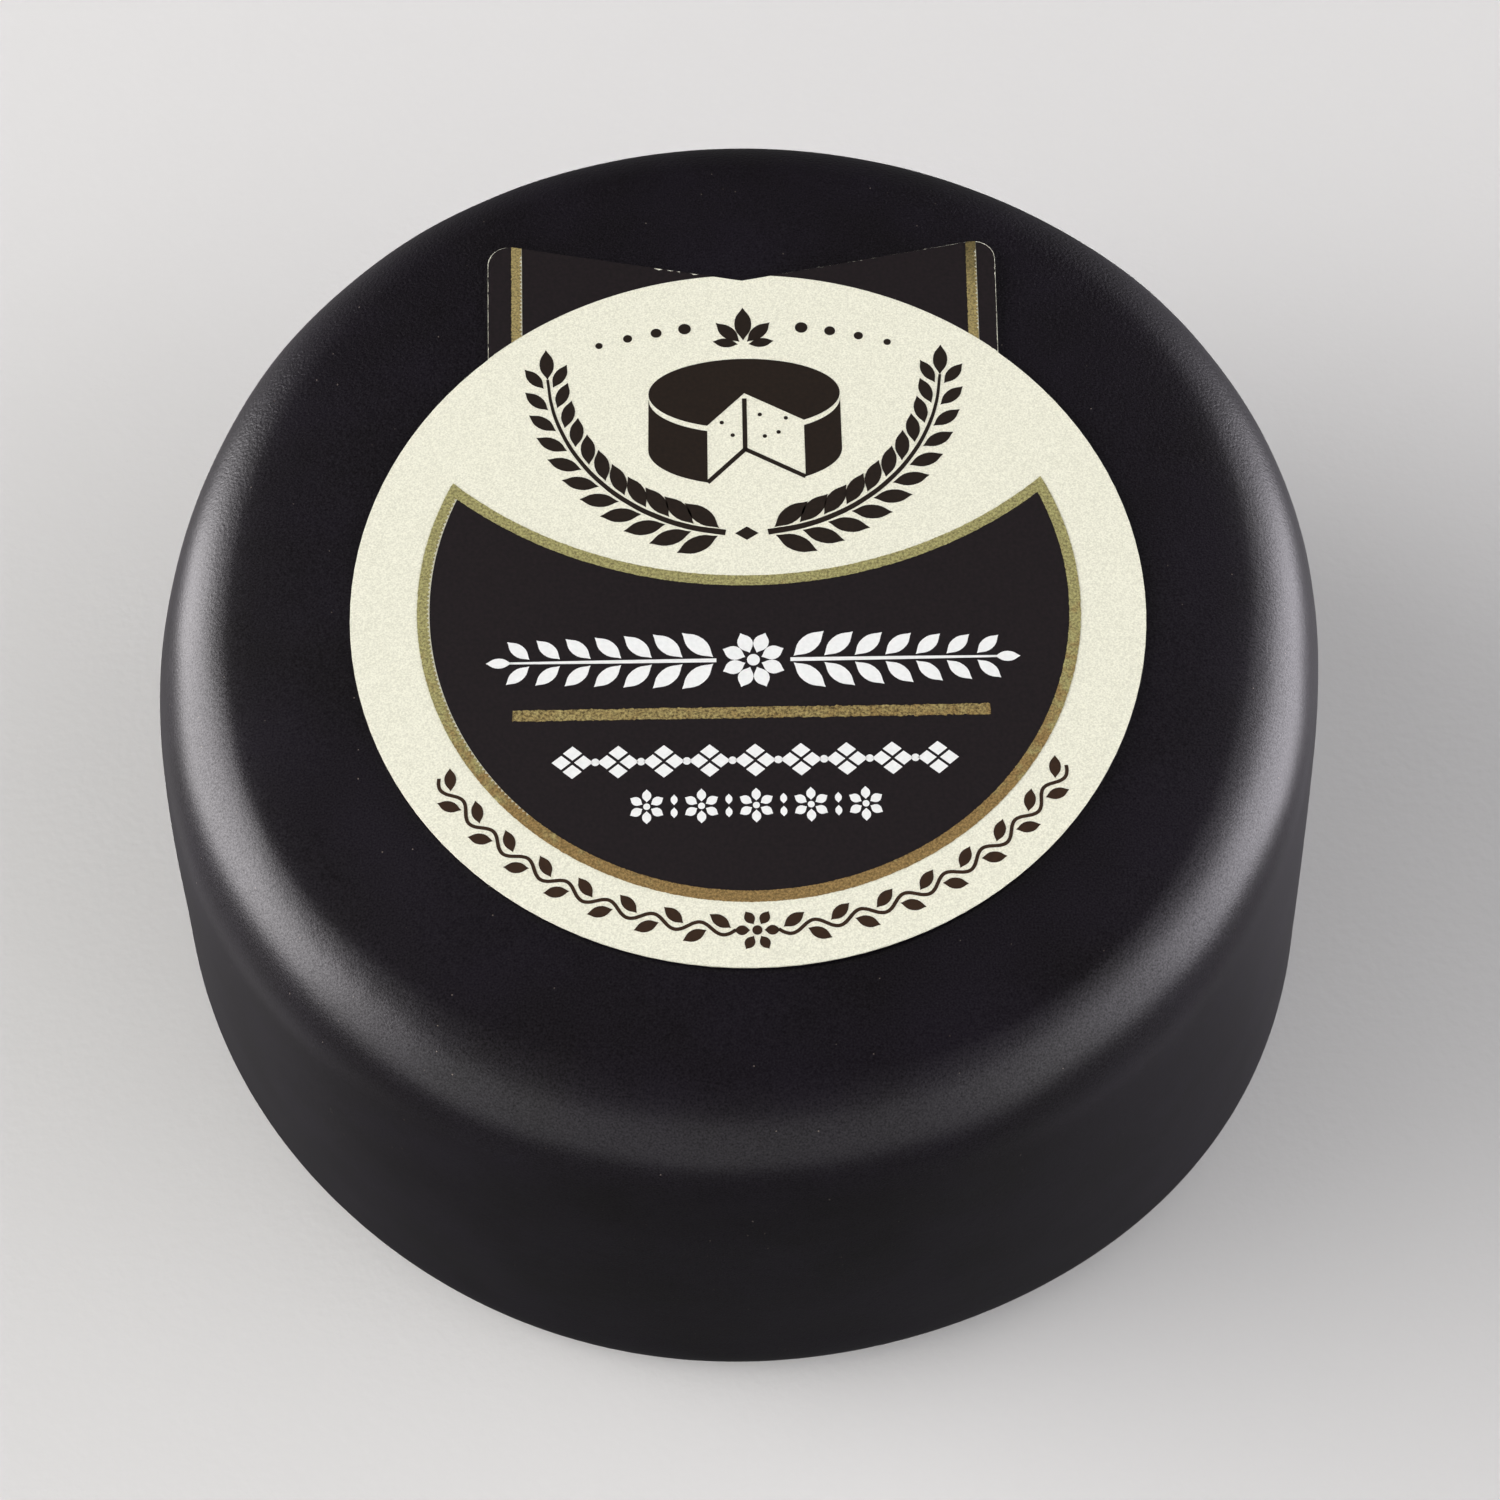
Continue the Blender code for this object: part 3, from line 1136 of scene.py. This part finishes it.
white_shapes = flower(GARLAND_PLACE, heart=0.8, petals=8, first_turn=22.5, reach=0.55,
                      petal_size=(1.5, 0.95))
for side in (1, -1):
    ends = [(GARLAND_PLACE[0] + side * x, GARLAND_PLACE[1]) for x in STEM_POINTS]
    white_shapes.append(pen_stroke(ends, STEM_WIDTHS))
    tip = (GARLAND_PLACE[0] + side * TIP_START, GARLAND_PLACE[1])
    white_shapes.append(stamped(leaf, *tip, 0 if side > 0 else 180, *TIP_SIZE))
    for pair in range(LEAF_PAIRS):
        size = [(1 - LEAF_SHRINK * pair) * extent for extent in LEAF_SIZE]
        x = GARLAND_PLACE[0] + side * (LEAF_START + LEAF_SPACING * pair)
        for up in (1, -1):
            turn = up * LEAF_RISE if side > 0 else 180 - up * LEAF_RISE
            y = GARLAND_PLACE[1] + up * LEAF_OFF_STEM
            white_shapes.append(stamped(leaf, x, y, turn, *size))
lay_print(white_shapes, "white_garland", 2, white_ink)

# %% Lozenge row
LOZENGE_ROW_PLACE = (0.25, -11.55)
LOZENGES = 9
LOZENGE_SPACING = 2.78
LOZENGE_SIZE = (1.15, 0.95)
LOZENGE_OFFSET = (0.68, 0.62)

white_shapes = []
for count in range(LOZENGES):
    x = LOZENGE_ROW_PLACE[0] + (count - (LOZENGES - 1) / 2) * LOZENGE_SPACING
    for up in (1, -1):
        y = LOZENGE_ROW_PLACE[1] + up * LOZENGE_OFFSET[1]
        white_shapes.append(stamped(lozenge, x, y, 0, *LOZENGE_SIZE))
        aside = x + up * LOZENGE_OFFSET[0]
        white_shapes.append(stamped(lozenge, aside, LOZENGE_ROW_PLACE[1], 0, *LOZENGE_SIZE))
    if count:
        white_shapes.append(stamped(dot, x - LOZENGE_SPACING / 2, LOZENGE_ROW_PLACE[1], length=0.5))
lay_print(white_shapes, "white_lozenges", 2, white_ink)

# %% Flower row
FLOWER_ROW_PLACE = (0.25, -14.58)
FLOWERS = 5
FLOWER_SPACING = 3.3
BUD_GAP = 0.08
BUD_SIZE = (0.7, 0.42)

white_shapes = []
for count in range(FLOWERS):
    middle = (FLOWER_ROW_PLACE[0] + (count - (FLOWERS - 1) / 2) * FLOWER_SPACING, FLOWER_ROW_PLACE[1])
    white_shapes += flower(middle, heart=0.42, petals=6, first_turn=30, reach=0.3,
                           petal_size=(0.85, 0.56))
    if count:
        between = (middle[0] - FLOWER_SPACING / 2, middle[1])
        for turn in (90, -90):
            white_shapes.append(stamped(leaf, *around(between, BUD_GAP, turn), turn, *BUD_SIZE))
lay_print(white_shapes, "white_flowers", 2, white_ink)

# %% [markdown]
# ## A vine round the cream ring
#
# A thin dark vine runs along the lower half of the cream ring. Its stem sways in and out of the
# middle of the ring, and one leaf fills each bay. A small flower sits at the lowest point.

# %% Vine
VINE_RADIUS = 22.67
VINE_MIDDLE = -89.6
VINE_HALF_ANGLE = 57.0
FLOWER_HALF_ANGLE = 3.2
SWAY = 0.34
BAYS = 15
BAY_STEPS = 4
VINE_WIDTH = 0.22
VINE_LEAF_START = 0.2
VINE_LEAF_OFF_STEM = 0.12
VINE_LEAF_SIZE = (1.55, 0.72)
VINE_LEAF_SPREAD = 32.0

lowest = around((0, 0), VINE_RADIUS, VINE_MIDDLE)
vine_shapes = flower(lowest, heart=0.6, petals=6, first_turn=0, reach=0.42, petal_size=(0.95, 0.62))
bay_angle = (VINE_HALF_ANGLE - FLOWER_HALF_ANGLE) / BAYS
for side in (1, -1):
    stem = []
    for step in range(BAY_STEPS * BAYS + 1):
        angle = VINE_MIDDLE + side * (FLOWER_HALF_ANGLE + bay_angle * step / BAY_STEPS)
        stem.append(around((0, 0), VINE_RADIUS + SWAY * math.sin(math.pi * step / BAY_STEPS), angle))
    vine_shapes.append(pen_stroke(stem, [VINE_WIDTH] * len(stem)))
    for bay in range(BAYS):
        inwards = -1 if bay % 2 == 0 else 1
        angle = VINE_MIDDLE + side * (FLOWER_HALF_ANGLE + bay_angle * (bay + VINE_LEAF_START))
        foot = around((0, 0), VINE_RADIUS + inwards * VINE_LEAF_OFF_STEM, angle)
        turn = angle + side * 90 - side * inwards * VINE_LEAF_SPREAD
        vine_shapes.append(stamped(leaf, *foot, turn, *VINE_LEAF_SIZE))
lay_print(vine_shapes, "brown_vine", 1, brown_ink)

# %% [markdown]
# ## The emblem
#
# The cream part over the black field holds a plain emblem of the trade: a waxed wheel of cheese
# with a wedge cut out, inside an open wreath of leaves. The wheel is drawn in perspective from
# arcs of two ellipses, its top and its foot. Its waxed skin is solid black, with a thin cream
# line for the edge that catches light, and the cut faces are left bare.

# %% Wheel of cheese
WHEEL_MIDDLE = (0.0, 15.4)
WHEEL_HALF_WIDTH = 6.3
WHEEL_HALF_DEPTH = 2.75
WHEEL_HEIGHT = 4.4
LIT_EDGE = 0.42
CUT_LEFT = 247.0
CUT_RIGHT = 308.0
ARC_STEP = 4.0
CUT_LINES = (0.3, 0.3)
HOLES = ((-1.5, 2.3), (-0.8, 3.3), (1.0, 1.7), (2.2, 3.1), (2.7, 2.0), (1.3, 3.4))
HOLE_SIZE = 0.28


def wheel_arc(start, end, drop=0.0):
    """Points along the edge of the wheel's top between two angles, moved down by a drop."""
    steps = max(1, round(abs(end - start) / ARC_STEP))
    points = []
    for step in range(steps + 1):
        angle = math.radians(start + (end - start) * step / steps)
        points.append((WHEEL_MIDDLE[0] + WHEEL_HALF_WIDTH * math.cos(angle),
                       WHEEL_MIDDLE[1] + WHEEL_HALF_DEPTH * math.sin(angle) - drop))
    return points


cut_left = wheel_arc(CUT_LEFT, CUT_LEFT, WHEEL_HEIGHT)[0]
cut_right = wheel_arc(CUT_RIGHT, CUT_RIGHT, WHEEL_HEIGHT)[0]
cut_foot = (WHEEL_MIDDLE[0], WHEEL_MIDDLE[1] - WHEEL_HEIGHT)
emblem = [
    filled([*wheel_arc(CUT_RIGHT - 360, CUT_LEFT), WHEEL_MIDDLE]),
    filled([*wheel_arc(180, CUT_LEFT, LIT_EDGE), *wheel_arc(CUT_LEFT, 180, WHEEL_HEIGHT)]),
    filled([*wheel_arc(CUT_RIGHT, 360, LIT_EDGE), *wheel_arc(360, CUT_RIGHT, WHEEL_HEIGHT)]),
    pen_stroke([(WHEEL_MIDDLE[0], WHEEL_MIDDLE[1] - LIT_EDGE), cut_foot], CUT_LINES),
    pen_stroke([cut_left, cut_foot], CUT_LINES),
    pen_stroke([cut_foot, cut_right], CUT_LINES),
]
for x, drop in HOLES:
    emblem.append(stamped(dot, WHEEL_MIDDLE[0] + x, WHEEL_MIDDLE[1] - drop, 0, HOLE_SIZE))

# %% Wreath
WREATH_MIDDLE = (0.0, 17.6)
WREATH_RADIUS = 13.0
WREATH_START = 6.0
WREATH_END = 86.0
WREATH_STEPS = 8
WREATH_WIDTH = 0.42
WREATH_THINNING = 0.03
WREATH_PAIRS = 11
FIRST_PAIR = 8.0
LAST_PAIR = 83.0
PAIR_OFF_STEM = 0.3
PAIR_SHRINK = 0.03
PAIR_SIZE = (2.9, 1.15)
WREATH_SPREAD = 33.0
WREATH_TIP_SIZE = (2.4, 0.95)
WREATH_KNOT_SIZE = (1.5, 1.0)

for side in (1, -1):
    stem = []
    for step in range(WREATH_STEPS + 1):
        angle = -90 + side * (WREATH_START + (WREATH_END - WREATH_START) * step / WREATH_STEPS)
        stem.append(around(WREATH_MIDDLE, WREATH_RADIUS, angle))
    widths = [WREATH_WIDTH - WREATH_THINNING * step for step in range(len(stem))]
    emblem.append(pen_stroke(stem, widths))
    emblem.append(stamped(leaf, *stem[-1], -90 + side * (WREATH_END + 90), *WREATH_TIP_SIZE))
    for pair in range(WREATH_PAIRS):
        angle = -90 + side * (FIRST_PAIR + (LAST_PAIR - FIRST_PAIR) * pair / (WREATH_PAIRS - 1))
        size = [(1 - PAIR_SHRINK * pair) * extent for extent in PAIR_SIZE]
        for outwards in (1, -1):
            foot = around(WREATH_MIDDLE, WREATH_RADIUS + outwards * PAIR_OFF_STEM, angle)
            turn = angle + side * (90 - outwards * WREATH_SPREAD)
            emblem.append(stamped(leaf, *foot, turn, *size))
lowest = around(WREATH_MIDDLE, WREATH_RADIUS, -90)
emblem.append(stamped(lozenge, *lowest, 0, *WREATH_KNOT_SIZE))

# %% Sprig and dots over the wheel
SPRIG_PLACE = (0.0, 19.3)
SPRIG_GAP = 0.35
SPRIG_LEAVES = ((90, 2.7), (45, 2.2), (135, 2.2), (8, 1.7), (172, 1.7))
SPRIG_LEAF_SHAPE = 0.42
DOTS_EACH_SIDE = 4
FIRST_DOT = 3.9
DOT_SPACING = 1.9
DOT_ROW_TOP = 20.9
DOT_ROW_BEND = 60.0
DOT_SIZE = 0.85
DOT_SHRINK = 0.12

for turn, length in SPRIG_LEAVES:
    foot = around(SPRIG_PLACE, SPRIG_GAP, turn)
    emblem.append(stamped(leaf, *foot, turn, length, SPRIG_LEAF_SHAPE * length))
for count in range(DOTS_EACH_SIDE):
    x = FIRST_DOT + DOT_SPACING * count
    y = DOT_ROW_TOP - x * x / DOT_ROW_BEND
    for side in (1, -1):
        emblem.append(stamped(dot, side * x, y, length=DOT_SIZE - DOT_SHRINK * count))
lay_print(emblem, "dark_emblem", 1, warm_black_ink)
